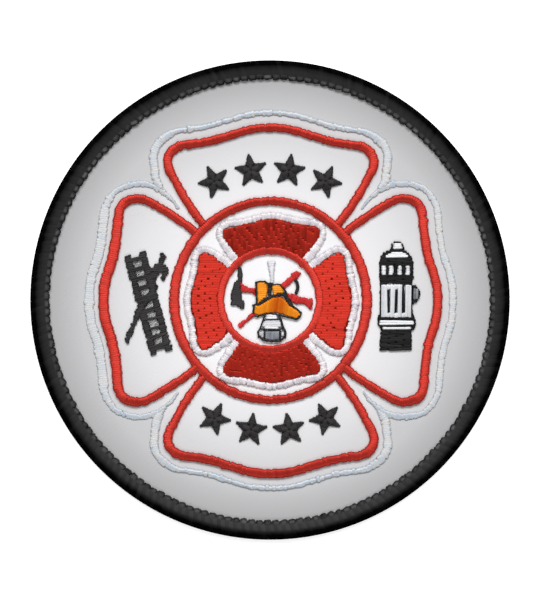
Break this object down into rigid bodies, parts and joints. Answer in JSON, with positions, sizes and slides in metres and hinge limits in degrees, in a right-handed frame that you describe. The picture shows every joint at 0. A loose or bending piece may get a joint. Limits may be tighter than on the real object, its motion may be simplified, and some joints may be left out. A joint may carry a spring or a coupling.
{
  "type": "embroidered shoulder patch",
  "caption": "Round embroidered twill patch with a fire-service cross, a ladder, a hydrant and tools, and a merrowed border, to be sewn on a sleeve.",
  "frame": {"origin": "middle of the back, on the plane that the border rests on", "axes": "+Z out of the embroidered face, +Y towards the top of the patch, +X to its right as it is read"},
  "size_m": [0.0888, 0.0888, 0.0026],
  "materials": {
    "twill": "smooth backed twill, white in the middle and greyer towards the border",
    "border_yarn": "thick black overlock yarn, slightly glossy",
    "red_thread": "red satin stitch, silky",
    "dark_red_thread": "red fill stitch in short rows, silky",
    "silver_thread": "silver-white satin stitch, silky",
    "white_thread": "white satin stitch, silky",
    "black_thread": "black satin stitch, slightly glossy",
    "orange_thread": "orange satin stitch, silky",
    "rust_thread": "rust-orange satin stitch, silky",
    "grey_thread": "pale grey satin stitch, silky"
  },
  "bodies": {
    "root": {"twill_ground": "twill", "merrow_border": "border_yarn", "hub_ring": "red_thread", "centre_ring": "red_thread", "ladder_and_pole": "black_thread", "hydrant_lines": "black_thread", "hydrant_panels": "white_thread", "helmet_crown": "orange_thread", "helmet_brim": "rust_thread", "helmet_trim": "black_thread", "axe_head": "black_thread", "axe_handle": "red_thread", "pike_pole": "red_thread", "pike_hook": "black_thread", "nozzle_body": "grey_thread", "nozzle_bands": "black_thread", "nozzle_tip": "grey_thread", "red_outline_right": "red_thread", "pale_outline_right": "silver_thread", "cross_fill_right": "dark_red_thread", "cross_rim_right": "white_thread", "red_outline_top": "red_thread", "pale_outline_top": "silver_thread", "cross_fill_top": "dark_red_thread", "cross_rim_top": "white_thread", "red_outline_left": "red_thread", "pale_outline_left": "silver_thread", "cross_fill_left": "dark_red_thread", "cross_rim_left": "white_thread", "red_outline_bottom": "red_thread", "pale_outline_bottom": "silver_thread", "cross_fill_bottom": "dark_red_thread", "cross_rim_bottom": "white_thread", "top_star_1": "black_thread", "top_star_2": "black_thread", "top_star_3": "black_thread", "top_star_4": "black_thread", "bottom_star_1": "black_thread", "bottom_star_2": "black_thread", "bottom_star_3": "black_thread", "bottom_star_4": "black_thread"}
  },
  "joints": []
}
